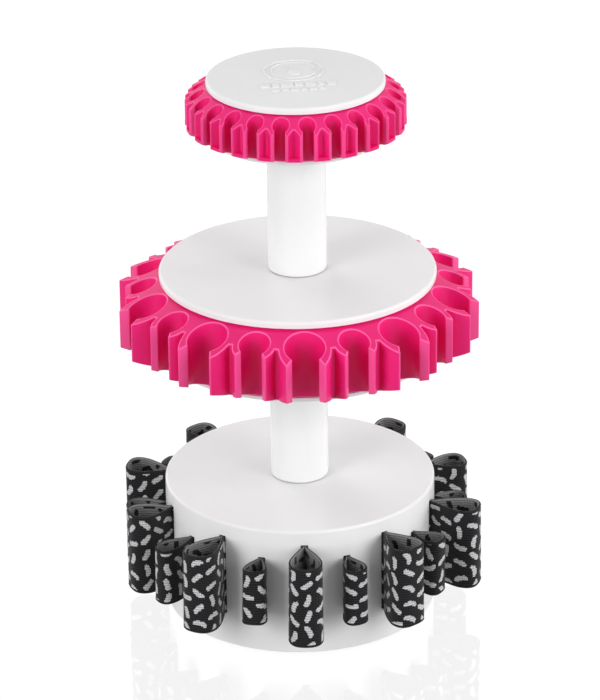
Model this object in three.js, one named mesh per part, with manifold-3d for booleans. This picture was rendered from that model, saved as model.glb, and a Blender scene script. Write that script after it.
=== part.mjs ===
// A three-tier drying tower for make-up brushes: a drum with elastic loops, and two silicone
// rings of spring-open slots, each clamped between white plates on a push-fit post.
// Millimetres, +Z up. The origin is on the table, under the middle of the drum.
// A slot or a loop faces -Y at angle 0, and its angle grows towards +X.
import * as THREE from "three";
import { mergeVertices } from "three/addons/utils/BufferGeometryUtils.js";
import Module from "manifold-3d";

// ---- Driving dimensions ----
const GAP = 0.3; // between pieces that touch

const FOOT_RING = { inside: 55, outside: 62, lift: 1, groove: 1.3 }; // lift: the drum's, off the table
const DRUM = { radius: 70.4, top: 70.4, wall: 2.7, roof: 3, edge: 1.6 };
const POST = { radius: 15, visible: 72.8, spigotRadius: 12.5, spigot: 18, bore: 10.2 };
const SOCKET = { radius: POST.spigotRadius + 0.4, wall: 3.5, spare: 1.5 }; // spare: past the spigot

// One tier of silicone slots. Heights are from the underside of its lower plate.
const MIDDLE = {
  plateRadius: 71.1,
  lowerPlate: 2.1,
  upperPlate: 3.6,
  height: 43.3,
  ringInside: 64,
  tip: { radius: 93.6, top: 29.8, bottom: 9.4 },
  coneStart: { radius: 70.5, drop: 1, rise: 0.2 },
  screws: { circle: 40, post: 4, boss: 5 },
};
const TOP = {
  plateRadius: 45.3,
  lowerPlate: 1.9,
  upperPlate: 3.3,
  height: 29.8,
  ringInside: 39.4,
  tip: { radius: 55.8, top: 19.2, bottom: 5.6 },
  coneStart: { radius: 45.6, drop: 0.6, rise: 0.1 },
  screws: { circle: 28, post: 3.8, boss: 4.6 },
};
const RIB = { wall: 2, height: 4 }; // keeps a silicone ring central between its plates
const PLATE_EDGE = 1; // the upper plates' chamfer
const JOIN = 0.5; // how far a boss or a relief runs into its plate

// Slots. centre: distance from the axis. mouth: the angle from straight out to the mouth's corner.
const WIDE_SLOT = { centre: 81.2, radius: 10.1, mouth: 40.5, armTip: 15.4, armTipAngle: 37.4 };
const NARROW_SLOT = { centre: 80, radius: 7.7, mouth: 43, armTip: 11.4, armTipAngle: 41.1 };
// The V between a wide slot's arm and a narrow slot's: each flank runs from its [angle, radius]
// foot by way of its control point to the arm's tip. Angles are from the wide slot.
const NOTCH = {
  wide: { foot: [9.2, 82.8], control: [8.4, 89.5] },
  narrow: { foot: [10.4, 82.6], control: [11, 86.6] },
};
const SMALL_SLOT = {
  centre: 49.9,
  radius: 4.1,
  mouth: 42,
  lip: 4.9,
  lipHalf: 2.8,
  tip: 5.75,
  tipHalf: 4.1,
  notchApex: 52.3,
  notchHalf: 0.5,
};
const PAIRS = 10; // wide and narrow slots, and loops, alternate 10 times round
const SMALL_SLOTS = 24;
const NOTCH_FLOOR = 1.8; // the web under the top ring's notches
const TURN = { middle: 0.7, top: 4.9 }; // degrees that each tier stands turned from the drum

// Elastic loops. reaches: how far each loop stands out from the drum's wall. Being hand-sewn, no
// two are quite alike.
const ELASTIC = 1.3; // thickness
const WIDE_LOOP = {
  reaches: [26, 25.5, 27, 23, 24, 25, 24, 25, 24, 28],
  half: 9,
  neck: 1.2,
  bottom: 18.5,
  top: 62.5,
};
const NARROW_LOOP = {
  reaches: [17.5, 18, 17.5, 18, 17.5, 18, 17.5, 21, 22, 18.5],
  half: 6.4,
  neck: 1,
  bottom: 24,
  top: 54.5,
};
// Places along a loop's side as shares of its reach: where the flank and the nose bend, and where
// they meet. width: the nose's own width, as a share of the loop's.
const LOOP_CURVE = { flank: 0.5, shoulder: 0.7, nose: 0.92, width: 0.6 };
const TAIL = { half: 5, inner: -4.6, outer: -3.3 }; // the sewn end behind the wall

const SCREW = { head: 2.8, headHeight: 1.4, shank: 1.25, length: 12, sink: 1.6 };
const BASE_PLATE = { thickness: 3, screwCircle: 48 };
const DRUM_BOSS = 4.2; // radius of the bosses that the base plate's screws turn into
const HEAD_SEAT = 2.9; // from a tier's underside to its screw heads' undersides
const EMBLEM = { ring: 15.5, width: 2, height: 0.5, back: 9.5, bars: [[36, 5, -9], [25, 3, -16.5]] };

const AROUND = 40; // facets round a large turned piece
const POST_AROUND = 32;
const SMALL_AROUND = 8; // facets round a screw or a boss
const EMBLEM_AROUND = 20;
const SMALL_RING_AROUND = 2 * SMALL_SLOTS; // so that each slot's two arms are alike

// ---- Materials ----
const surface = (color, roughness, metalness = 0) =>
  new THREE.MeshStandardMaterial({ color, roughness, metalness });
const WHITE = surface(0xf4f4f5, 0.25);
const PINK = surface(0xf0308a, 0.45);
const BLACK = surface(0x1d1d1f, 0.9);
const RUBBER = surface(0x2b2b2d, 0.8);
const STEEL = surface(0xb8babd, 0.3, 1);

// ---- Solids ----
const wasm = await Module();
wasm.setup();

/** A three.js geometry as a manifold-3d solid. */
function solid(geometry) {
  const bare = geometry.clone();
  bare.deleteAttribute("normal");
  bare.deleteAttribute("uv");
  const merged = mergeVertices(bare, 1e-4);
  const mesh = new wasm.Mesh({
    numProp: 3,
    vertProperties: new Float32Array(merged.attributes.position.array),
    triVerts: new Uint32Array(merged.index.array),
  });
  return new wasm.Manifold(mesh);
}

/** A solid as a three.js geometry. */
function geometryOf(made) {
  const mesh = made.getMesh();
  return new THREE.BufferGeometry()
    .setAttribute("position", new THREE.BufferAttribute(new Float32Array(mesh.vertProperties), 3))
    .setIndex(new THREE.BufferAttribute(new Uint32Array(mesh.triVerts), 1));
}

/** A turned solid. The profile is [radius, z] pairs, anticlockwise, and closes on itself. */
function turned(profile, around = AROUND) {
  const points = [...profile, profile[0]].map(([r, z]) => new THREE.Vector2(r, z));
  return solid(new THREE.LatheGeometry(points, around).rotateX(Math.PI / 2));
}

/** A tube or, with inside 0, a rod standing on the axis moved to (x, y). */
function tube(inside, outside, bottom, top, x = 0, y = 0, around = SMALL_AROUND) {
  const profile = [[inside, bottom], [outside, bottom], [outside, top], [inside, top]];
  return turned(profile, around).translate([x, y, 0]);
}

/** An outline in XY made solid between two heights. */
function prism(shape, bottom, top, curveSegments) {
  const settings = { depth: top - bottom, bevelEnabled: false, curveSegments };
  return solid(new THREE.ExtrudeGeometry(shape, settings).translate(0, 0, bottom));
}

const radians = (degrees) => (degrees * Math.PI) / 180;

/** The point (across, out) seen from the axis along an angle in degrees. */
function facing(angle, across, out) {
  const a = radians(angle);
  return [across * Math.cos(a) + out * Math.sin(a), across * Math.sin(a) - out * Math.cos(a)];
}

/** Evenly spaced angles in degrees. */
const spaced = (count, first = 0) =>
  Array.from({ length: count }, (_, i) => first + (360 * i) / count);

const nameOf = (stem, i) => `${stem}_${String(i + 1).padStart(2, "0")}`;

function mesh(name, made, material) {
  const piece = new THREE.Mesh(geometryOf(made), material);
  piece.name = name;
  return piece;
}

// ---- Base: drum, cover, feet, loops ----
const baseBottom = FOOT_RING.lift;
const roofUnder = DRUM.top - DRUM.roof;
const wallInside = DRUM.radius - DRUM.wall;
const plateTop = baseBottom + BASE_PLATE.thickness;
const loopAngles = { wide: spaced(PAIRS), narrow: spaced(PAIRS, 180 / PAIRS) };
const baseScrewPlaces = spaced(4, 45).map((angle) => facing(angle, 0, BASE_PLATE.screwCircle));

/** A window through the drum's wall, that a loop's doubled neck passes. */
function wallWindow(loop, angle) {
  const half = ELASTIC + 2 * GAP;
  const through = 3 * DRUM.wall;
  const box = new THREE.BoxGeometry(2 * half, through, loop.top - loop.bottom + 2 * GAP);
  box.translate(0, -DRUM.radius, (loop.top + loop.bottom) / 2);
  return solid(box.rotateZ(radians(angle)));
}

function baseDrum() {
  const { radius, top, edge } = DRUM;
  const socketOut = SOCKET.radius + SOCKET.wall;
  const socketFoot = top - POST.spigot - SOCKET.spare;
  let made = turned([
    [SOCKET.radius, top],
    [SOCKET.radius, socketFoot],
    [socketOut, socketFoot],
    [socketOut, roofUnder],
    [wallInside, roofUnder],
    [wallInside, baseBottom],
    [radius, baseBottom],
    [radius, top - edge],
    [radius - edge, top],
  ]);
  for (const [x, y] of baseScrewPlaces) {
    made = made.add(tube(0, DRUM_BOSS, plateTop + GAP, roofUnder + JOIN, x, y));
    made = made.subtract(tube(0, SCREW.shank + GAP, plateTop, plateTop + SCREW.length, x, y));
  }
  for (const angle of loopAngles.wide) made = made.subtract(wallWindow(WIDE_LOOP, angle));
  for (const angle of loopAngles.narrow) made = made.subtract(wallWindow(NARROW_LOOP, angle));
  return made;
}

function basePlate() {
  const { inside, outside, groove } = FOOT_RING;
  const edge = wallInside - 2 * GAP;
  const grooveTop = baseBottom + groove;
  let made = turned([
    [0, baseBottom],
    [inside - GAP, baseBottom],
    [inside - GAP, grooveTop],
    [outside + GAP, grooveTop],
    [outside + GAP, baseBottom],
    [edge, baseBottom],
    [edge, plateTop],
    [0, plateTop],
  ]);
  for (const [x, y] of baseScrewPlaces) {
    made = made.subtract(tube(0, SCREW.shank + GAP, 0, plateTop + 1, x, y));
    made = made.subtract(tube(0, SCREW.head + GAP, 0, baseBottom + SCREW.sink + GAP, x, y));
  }
  return made;
}

/** A soft ring glued in the base plate's groove, that the tower stands on. */
function footRing() {
  const { inside, outside, groove } = FOOT_RING;
  return tube(inside, outside, 0, baseBottom + groove - GAP, 0, 0, AROUND);
}

/** A pan-head screw, driven upwards, with its head's underside at z. */
function screw(x, y, z) {
  const { head, headHeight, shank, length } = SCREW;
  const profile = [
    [0, z - headHeight],
    [head, z - headHeight],
    [head, z],
    [shank, z],
    [shank, z + length],
    [0, z + length],
  ];
  return turned(profile, SMALL_AROUND).translate([x, y, 0]);
}

/** A thin sleeve inside the drum that holds the loops' sewn ends against the wall. */
function loopRetainer() {
  const sleeve = 1.5;
  const outside = DRUM.radius + TAIL.inner - GAP;
  return tube(outside - sleeve, outside, plateTop + GAP, roofUnder - GAP, 0, 0, AROUND);
}

/** One side of a loop, between the wall and its front, grown by an offset. side is -1 or 1. */
function loopSide(path, loop, reach, offset, side, towardsWall) {
  const at = (across, out) => [side * across, -(DRUM.radius + out)];
  const half = loop.half - ELASTIC / 2 + offset;
  const wall = at(ELASTIC / 2 + GAP / 2 + offset, loop.neck);
  const flank = at(half, LOOP_CURVE.flank * reach);
  const shoulder = at(half, LOOP_CURVE.shoulder * reach);
  const nose = at(half, LOOP_CURVE.nose * reach);
  const frontOut = reach - ELASTIC / 2 + offset;
  const turn = at(LOOP_CURVE.width * half, frontOut);
  const front = at(0, frontOut);
  if (towardsWall) {
    path.bezierCurveTo(...turn, ...nose, ...shoulder);
    path.quadraticCurveTo(...flank, ...wall);
  } else {
    path.quadraticCurveTo(...flank, ...shoulder);
    path.bezierCurveTo(...nose, ...turn, ...front);
  }
}

/** An elastic strip folded into a drop shape, its two layers meeting in the wall's window. */
function elasticLoop(loop, reach) {
  const grow = ELASTIC / 2;
  const y = (out) => -(DRUM.radius + out);
  const neck = ELASTIC + GAP / 2;
  const outline = new THREE.Shape();
  outline.moveTo(neck, y(loop.neck));
  outline.lineTo(neck, y(TAIL.outer));
  outline.lineTo(TAIL.half, y(TAIL.outer));
  outline.lineTo(TAIL.half, y(TAIL.inner));
  outline.lineTo(-TAIL.half, y(TAIL.inner));
  outline.lineTo(-TAIL.half, y(TAIL.outer));
  outline.lineTo(-neck, y(TAIL.outer));
  outline.lineTo(-neck, y(loop.neck));
  loopSide(outline, loop, reach, grow, -1, false);
  loopSide(outline, loop, reach, grow, 1, true);
  const hollow = new THREE.Path();
  hollow.moveTo(0, y(loop.neck + ELASTIC));
  loopSide(hollow, loop, reach, -grow, -1, false);
  loopSide(hollow, loop, reach, -grow, 1, true);
  outline.holes.push(hollow);
  return prism(outline, loop.bottom, loop.top, 3);
}

function baseGroup() {
  const base = new THREE.Group();
  base.add(mesh("base_drum", baseDrum(), WHITE));
  base.add(mesh("base_plate", basePlate(), WHITE));
  base.add(mesh("foot_ring", footRing(), RUBBER));
  base.add(mesh("loop_retainer", loopRetainer(), WHITE));
  baseScrewPlaces.forEach(([x, y], i) =>
    base.add(mesh(nameOf("base_screw", i), screw(x, y, baseBottom + SCREW.sink), STEEL)));
  for (const [size, loop] of [["wide", WIDE_LOOP], ["narrow", NARROW_LOOP]]) {
    loopAngles[size].forEach((angle, i) => {
      const made = elasticLoop(loop, loop.reaches[i]);
      const piece = mesh(nameOf(`${size}_loop`, i), made, BLACK);
      piece.rotation.z = radians(angle);
      base.add(piece);
    });
  }
  return base;
}

// ---- Posts ----
/** A hollow post that stands on z, with a spigot at each end. */
function post(z) {
  const { radius, visible, spigotRadius, spigot, bore } = POST;
  const foot = z + GAP;
  const head = z + visible;
  const chamfer = 1;
  return turned([
    [bore, foot - spigot],
    [spigotRadius - chamfer, foot - spigot],
    [spigotRadius, foot - spigot + chamfer],
    [spigotRadius, foot],
    [radius, foot],
    [radius, head],
    [spigotRadius, head],
    [spigotRadius, head + spigot - chamfer],
    [spigotRadius - chamfer, head + spigot],
    [bore, head + spigot],
  ], POST_AROUND);
}

// ---- Tiers: two plates that clamp a silicone ring ----
/** The silicone ring's cross-section: flat where it is clamped, tapering to the arms' tips. */
function ringSection(tier, z) {
  const { tip, coneStart, ringInside } = tier;
  const top = z + tier.height - tier.upperPlate - GAP;
  const bottom = z + tier.lowerPlate + GAP;
  return [
    [ringInside, top],
    [ringInside, bottom],
    [coneStart.radius - 1, bottom],
    [coneStart.radius, bottom + coneStart.rise],
    [tip.radius, z + tip.bottom],
    [tip.radius, z + tip.top],
    [coneStart.radius, top - coneStart.drop],
    [coneStart.radius - 2, top],
  ];
}

/** Cuts an outline out of a ring's turned cross-section. */
function silicone(tier, z, outline, curveSegments, around) {
  const blank = prism(outline, z, z + tier.height, curveSegments);
  return blank.intersect(turned(ringSection(tier, z), around));
}

/** The middle ring's outline: wide and narrow slots between curved arms. */
function middleOutline() {
  const outline = new THREE.Shape();
  const armTip = (slot, angle, side) => {
    const a = radians(slot.armTipAngle);
    return facing(angle, side * slot.armTip * Math.sin(a), slot.centre + slot.armTip * Math.cos(a));
  };
  const slotArc = (slot, angle) => {
    const [x, y] = facing(angle, 0, slot.centre);
    const out = radians(angle - 90);
    const mouth = radians(slot.mouth);
    outline.absarc(x, y, slot.radius, out - mouth, out + mouth, true);
  };
  const inNotch = (angle, side, [from, radius]) => facing(angle + side * from, 0, radius);
  const { wide, narrow } = NOTCH;
  outline.moveTo(...inNotch(0, -1, wide.foot));
  for (const angle of spaced(PAIRS)) {
    outline.quadraticCurveTo(...inNotch(angle, -1, wide.control), ...armTip(WIDE_SLOT, angle, -1));
    slotArc(WIDE_SLOT, angle);
    outline.lineTo(...armTip(WIDE_SLOT, angle, 1));
    outline.quadraticCurveTo(...inNotch(angle, 1, wide.control), ...inNotch(angle, 1, wide.foot));
    const between = angle + 180 / PAIRS;
    const next = angle + 360 / PAIRS;
    const tips = [-1, 1].map((side) => armTip(NARROW_SLOT, between, side));
    outline.lineTo(...inNotch(angle, 1, narrow.foot));
    outline.quadraticCurveTo(...inNotch(angle, 1, narrow.control), ...tips[0]);
    slotArc(NARROW_SLOT, between);
    outline.lineTo(...tips[1]);
    outline.quadraticCurveTo(...inNotch(next, -1, narrow.control), ...inNotch(next, -1, narrow.foot));
    outline.lineTo(...inNotch(next, -1, wide.foot));
  }
  return outline;
}

/** The top ring's outline: equal small slots in a round flange. */
function topOutline() {
  const outline = new THREE.Shape();
  const { centre, radius, mouth, lip, lipHalf, tip, tipHalf } = SMALL_SLOT;
  spaced(SMALL_SLOTS).forEach((angle, i) => {
    const to = (across, out) => outline.lineTo(...facing(angle, across, centre + out));
    if (i) to(-tipHalf, tip);
    else outline.moveTo(...facing(angle, -tipHalf, centre + tip));
    to(-lipHalf, lip);
    const out = radians(angle - 90);
    const corner = radians(mouth);
    outline.absarc(...facing(angle, 0, centre), radius, out - corner, out + corner, true);
    to(lipHalf, lip);
    to(tipHalf, tip);
  });
  return outline;
}

/** The V between two of the top ring's slots, at an angle. */
function topNotch(angle) {
  const { centre, tip, tipHalf, notchApex, notchHalf } = SMALL_SLOT;
  const toSlot = 180 / SMALL_SLOTS;
  const start = new THREE.Vector2(...facing(angle - notchHalf, 0, notchApex));
  const end = new THREE.Vector2(...facing(angle + notchHalf, 0, notchApex));
  const before = new THREE.Vector2(...facing(angle - toSlot, tipHalf, centre + tip));
  const after = new THREE.Vector2(...facing(angle + toSlot, -tipHalf, centre + tip));
  const past = 1.5; // how far the flanks run on beyond the arms' tips
  return new THREE.Shape([
    start,
    start.clone().lerp(before, past),
    end.clone().lerp(after, past),
    end,
  ]);
}

function topRing(z) {
  let made = silicone(TOP, z, topOutline(), 3, SMALL_RING_AROUND);
  const webTop = z + TOP.tip.bottom + NOTCH_FLOOR;
  for (const angle of spaced(SMALL_SLOTS, 180 / SMALL_SLOTS)) {
    made = made.subtract(prism(topNotch(angle), webTop, z + TOP.height));
  }
  return made;
}

/** Where a tier's three screws stand. */
const screwPlaces = (tier) => spaced(3, 30).map((angle) => facing(angle, 0, tier.screws.circle));

function lowerPlate(tier, z) {
  const { plateRadius, lowerPlate: thick, ringInside, screws } = tier;
  const ribOut = ringInside - GAP;
  const hubTop = z + POST.spigot + SOCKET.spare;
  const rib = z + thick + RIB.height;
  let made = turned([
    [SOCKET.radius, hubTop],
    [SOCKET.radius, z],
    [plateRadius, z],
    [plateRadius, z + thick],
    [ribOut, z + thick],
    [ribOut, rib],
    [ribOut - RIB.wall, rib],
    [ribOut - RIB.wall, z + thick],
    [SOCKET.radius + SOCKET.wall, z + thick],
    [SOCKET.radius + SOCKET.wall, hubTop],
  ]);
  for (const [x, y] of screwPlaces(tier)) {
    made = made.add(tube(0, screws.boss, z + JOIN, z + thick + RIB.height, x, y));
    made = made.subtract(tube(0, SCREW.shank + GAP, z - 1, z + thick + RIB.height + 1, x, y));
    made = made.subtract(tube(0, SCREW.head + GAP, z - 1, z + HEAD_SEAT + GAP, x, y));
  }
  return made;
}

/** The plate above a ring. Only the middle one has a socket for the next post. */
function upperPlate(tier, z, hasSocket) {
  const { plateRadius, upperPlate: thick, ringInside, screws } = tier;
  const top = z + tier.height;
  const under = top - thick;
  const ribOut = ringInside - GAP;
  const rib = under - RIB.height;
  const hub = top - POST.spigot - SOCKET.spare;
  const hubOut = SOCKET.radius + SOCKET.wall;
  const inner = hasSocket
    ? [[hubOut, under], [hubOut, hub], [SOCKET.radius, hub], [SOCKET.radius, top]]
    : [[0, under], [0, top]];
  let made = turned([
    ...inner.reverse(),
    [ribOut - RIB.wall, under],
    [ribOut - RIB.wall, rib],
    [ribOut, rib],
    [ribOut, under],
    [plateRadius, under],
    [plateRadius, top - PLATE_EDGE],
    [plateRadius - PLATE_EDGE, top],
  ]);
  const postFoot = z + tier.lowerPlate + RIB.height + GAP;
  for (const [x, y] of screwPlaces(tier)) {
    made = made.add(tube(0, screws.post, postFoot, under + JOIN, x, y));
    made = made.subtract(tube(0, SCREW.shank + GAP, postFoot - 1, postFoot + SCREW.length, x, y));
  }
  return made;
}

/** The relief on the tower's top: a ring, with two plain bars in front of it. */
function addEmblem(plate, top) {
  const { ring, width, height, back, bars } = EMBLEM;
  let made = plate.add(tube(ring - width, ring, top - JOIN, top + height, 0, back, EMBLEM_AROUND));
  for (const [length, depth, y] of bars) {
    const bar = new THREE.BoxGeometry(length, depth, JOIN + height);
    made = made.add(solid(bar.translate(0, y, top + (height - JOIN) / 2)));
  }
  return made;
}

function tierGroup(stem, tier, z, ring, turn, upper) {
  const group = new THREE.Group();
  group.rotation.z = radians(turn);
  group.add(mesh(`${stem}_upper_plate`, upper, WHITE));
  group.add(mesh(`${stem}_lower_plate`, lowerPlate(tier, z), WHITE));
  group.add(mesh(`${stem}_silicone_ring`, ring, PINK));
  screwPlaces(tier).forEach(([x, y], i) =>
    group.add(mesh(nameOf(`${stem}_screw`, i), screw(x, y, z + HEAD_SEAT), STEEL)));
  return group;
}

// ---- The tower ----
const middleBottom = DRUM.top + POST.visible + GAP;
const middleTop = middleBottom + MIDDLE.height;
const topBottom = middleTop + POST.visible + GAP;
const towerTop = topBottom + TOP.height;

const tower = new THREE.Group();
tower.add(baseGroup());
tower.add(mesh("lower_post", post(DRUM.top), WHITE));
const middleRing = silicone(MIDDLE, middleBottom, middleOutline(), 4, AROUND);
const middleUpper = upperPlate(MIDDLE, middleBottom, true);
tower.add(tierGroup("middle", MIDDLE, middleBottom, middleRing, TURN.middle, middleUpper));
tower.add(mesh("upper_post", post(middleTop), WHITE));
const topUpper = addEmblem(upperPlate(TOP, topBottom, false), towerTop);
tower.add(tierGroup("top", TOP, topBottom, topRing(topBottom), TURN.top, topUpper));

export default tower;
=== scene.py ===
import math
import random

import bmesh
import bpy
import numpy as np
from mathutils import Euler, Matrix, Vector
from mathutils.geometry import delaunay_2d_cdt


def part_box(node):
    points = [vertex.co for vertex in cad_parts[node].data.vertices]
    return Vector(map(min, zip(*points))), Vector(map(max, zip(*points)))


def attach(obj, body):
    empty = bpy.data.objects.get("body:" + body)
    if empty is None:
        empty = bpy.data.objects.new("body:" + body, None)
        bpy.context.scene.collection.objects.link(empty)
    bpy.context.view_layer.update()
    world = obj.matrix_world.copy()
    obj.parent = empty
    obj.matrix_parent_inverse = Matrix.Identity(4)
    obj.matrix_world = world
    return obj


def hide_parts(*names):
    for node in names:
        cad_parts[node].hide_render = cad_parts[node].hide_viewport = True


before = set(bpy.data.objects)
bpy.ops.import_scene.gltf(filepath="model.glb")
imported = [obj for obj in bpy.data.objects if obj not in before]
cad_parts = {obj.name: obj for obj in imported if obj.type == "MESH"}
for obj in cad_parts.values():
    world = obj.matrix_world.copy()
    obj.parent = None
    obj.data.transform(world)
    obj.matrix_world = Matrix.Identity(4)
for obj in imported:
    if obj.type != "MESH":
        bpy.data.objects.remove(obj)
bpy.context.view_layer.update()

MM = 0.001
GAP = 0.3  # between pieces that touch
FINE = 160  # facets round a large turned piece
PAIRS = 10  # wide and narrow slots, and loops, alternate this many times round
SMALL_SLOTS = 24
TURN = {"middle": 0.7, "top": 4.9}  # how each tier stands turned from the drum

CAMERA = {
    "azimuth": -1.5,  # where it stands round the object
    "distance": 1.797,  # from the posts' axis, level
    "height": 0.950,
    "heading": -1.525,
    "down": 24.266,
    "roll": -0.633,
    "lens": 196.4,
}


def limits(node):
    """A CAD node's lowest z, highest z and furthest reach along X or Y, in millimetres."""
    low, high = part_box(node)
    return low.z / MM, high.z / MM, max(high.x, high.y) / MM


# ---- Driving dimensions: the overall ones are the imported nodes' own ----
BASE_BOTTOM, BASE_TOP, BASE_RADIUS = limits("base_drum")
PLATE_LOW, PLATE_HIGH, PLATE_RADIUS = limits("base_plate")
FOOT_LOW, FOOT_HIGH, FOOT_RADIUS = limits("foot_ring")
FOOT_INSIDE = 55  # the inner radius of the non-slip ring
POST = {"radius": 15, "spigot_radius": 12.5, "spigot": 18, "bore": 10.2}
SOCKET = {"radius": 12.9, "wall": 3.5, "spare": 1.5}  # spare: depth left past the spigot
BASE = {"wall": 2.7, "roof": 3, "fillet": 1.5, "screw_circle": 48}
WINDOW_DEPTH = 9  # of the cutters for the loops' windows in the drum's wall

# tip is the (radius, top, underside) of a tier's arms. start is the radius where the silicone
# comes out from the plates, with how far its top has dropped and its underside risen there.
MIDDLE = {
    "stem": "middle", "lower": 2.1, "upper": 3.6, "height": 43.3, "inside": 64,
    "tip": (93.6, 29.8, 9.4), "start": (70.5, 1.0, 0.2), "screw_circle": 40, "boss": 5,
}
TOP = {
    "stem": "top", "lower": 1.9, "upper": 3.3, "height": 29.8, "inside": 39.4,
    "tip": (55.8, 19.2, 5.6), "start": (45.6, 0.6, 0.1), "screw_circle": 28, "boss": 4.6,
}
RIB = {"wall": 2, "height": 4}
SCREW = {"head": 2.8, "height": 1.4, "shank": 1.25, "length": 12, "point": 1.5, "tip": 0.3}
RECESS = {"length": 3.0, "width": 0.62, "depth": 0.8}  # the cross in a screw's head
HEAD_SEAT = {"base": 1.6, "tier": 2.9}  # from a plate's outer face to where its screws bear
TIER_SCREWS = (30, 150, 270)
BASE_SCREWS = (45, 135, 225, 315)

WIDE_SLOT = {"centre": 81.2, "radius": 10.1, "mouth": 40.5, "tip": 15.4, "tip_angle": 37.4}
NARROW_SLOT = {"centre": 80, "radius": 7.7, "mouth": 43, "tip": 11.4, "tip_angle": 41.1}
# The V between two arms. Each flank runs from its (angle, radius) foot to the arm's tip.
NOTCH = {
    "wide": {"foot": (9.2, 82.8), "control": (8.4, 89.5)},
    "narrow": {"foot": (10.4, 82.6), "control": (11, 86.6)},
}
SMALL_SLOT = {
    "centre": 49.9, "radius": 4.1, "mouth": 42, "lip": (2.8, 4.9), "tip": (4.1, 5.75),
    "apex": 52.3, "apex_half": 0.5,
}
NOTCH_FLOOR = 1.8  # the thickness of the web under the top ring's notches
# The soft rounding of each silicone ring: its radius, the strength of the highlight painted along
# it, and its upright corners' fillet and painted highlight.
MIDDLE_RIM = {"radius": 0.5, "painted_highlight": 1, "fillet": 0.4, "painted_corner_highlight": 0.6}
TOP_RIM = {"radius": 0.35, "painted_highlight": 0.6, "fillet": 0.25, "painted_corner_highlight": 0.5}
RIM_INSIDE = 0.25  # how far inside a rim the flat face starts
CORNER_STEPS = 4  # facets round an upright corner

ELASTIC = 1.3  # the strip's thickness
RIB_PITCH = 1.38  # of the elastic's woven ribs
RIB_STEPS = 4  # rows of points across a rib
RIB_RELIEF = 0.18
HEM = {"width": 1.4, "extra": 0.1, "soft": 0.5, "thin": 0.55}  # the bound edges
WIDE_LOOP = {"stem": "wide", "half": 9, "neck": 1.2, "first": 0, "steps": 96}
NARROW_LOOP = {"stem": "narrow", "half": 6.4, "neck": 1, "first": 18, "steps": 72}
# Places along a loop's side as shares of its reach, and the nose's width as a share of the loop's.
LOOP_CURVE = {"flank": 0.5, "shoulder": 0.7, "nose": 0.92, "width": 0.6}
TAIL = {"half": 5, "inner": -4.6, "outer": -3.3, "bend": 0.9}  # the sewn ends in the drum
# How a loop was sewn and has settled: the least and the most of each.
SETTLED = {"taper": (0.04, 0.14), "lean": (-0.5, 0.5), "sway": (-0.4, 0.4), "lift": (-0.6, 0.9)}
RIPPLE = {"height": 0.3, "waves": 2.5}
REEL = {"loop": 41.3, "rib": 7}  # how far along the woven figure each loop's strip starts
STRIP_UNIT = 100  # millimetres to one unit of a strip's UV map

EMBLEM = {
    "sink": 0.2, "height": 0.45, "round": 0.25,
    "centre": 9.5, "rings": ((15.5, 14.4), (11.6, 11.0)),
    "drop": 8.2, "drop_size": 7, "gap": 1.0,
    # Each row of tiles: its place, its depth and its tiles' lengths.
    "rows": ((-11, 6, (5, 3.5, 6, 4, 5.5, 3.5, 4.5)), (-18.2, 3.6, (4, 3, 4.5, 3, 4, 3.5))),
}
TILE_CORNER = 0.9


# ---- Node trees ----
def make(tree, kind, **values):
    """A shader node, with its settings and its unlinked inputs set by name."""
    node = tree.nodes.new(kind)
    for name, value in values.items():
        if hasattr(node, name):
            setattr(node, name, value)
        else:
            node.inputs[name.replace("_", " ")].default_value = value
    return node


def feed(tree, socket, value):
    """Links an output into a socket, or sets the socket to a number."""
    if isinstance(value, bpy.types.NodeSocket):
        tree.links.new(value, socket)
    else:
        socket.default_value = value


def sums(tree, operation, *values):
    """One Math node's output."""
    node = tree.nodes.new("ShaderNodeMath")
    node.operation = operation
    for socket, value in zip(node.inputs, values):
        feed(tree, socket, value)
    return node.outputs[0]


def vectors(tree, operation, *values):
    """One Vector Math node's output."""
    node = tree.nodes.new("ShaderNodeVectorMath")
    node.operation = operation
    for socket, value in zip(node.inputs, values):
        feed(tree, socket, value)
    return node.outputs["Value"] if operation == "LENGTH" else node.outputs["Vector"]


def noise(tree, place, scale, detail=3):
    """A noise texture's value."""
    node = make(tree, "ShaderNodeTexNoise", Scale=scale, Detail=detail)
    tree.links.new(place, node.inputs["Vector"])
    return node.outputs["Fac"]


def ramp(tree, value, low, high, dark, light):
    """A colour that runs from dark to light as a value runs from low to high."""
    node = tree.nodes.new("ShaderNodeValToRGB")
    node.color_ramp.elements[0].position = low
    node.color_ramp.elements[0].color = (*dark, 1)
    node.color_ramp.elements[1].position = high
    node.color_ramp.elements[1].color = (*light, 1)
    tree.links.new(value, node.inputs["Fac"])
    return node.outputs["Color"]


def spread(tree, value, low, high):
    """A 0 to 1 value mapped to low to high."""
    return sums(tree, "MULTIPLY_ADD", value, high - low, low)


def bump(tree, height, strength, depth):
    """A bumped normal, with its depth in metres."""
    node = make(tree, "ShaderNodeBump", Strength=strength, Distance=depth)
    tree.links.new(height, node.inputs["Height"])
    return node.outputs["Normal"]


def surface(name, **sockets):
    """A new material, its tree, its shader and its object coordinates."""
    material = bpy.data.materials.new(name)
    material.use_nodes = True
    tree = material.node_tree
    shader = tree.nodes["Principled BSDF"]
    for key, value in sockets.items():
        shader.inputs[key.replace("_", " ")].default_value = value
    place = tree.nodes.new("ShaderNodeTexCoord").outputs["Object"]
    return material, tree, shader, place


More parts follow.
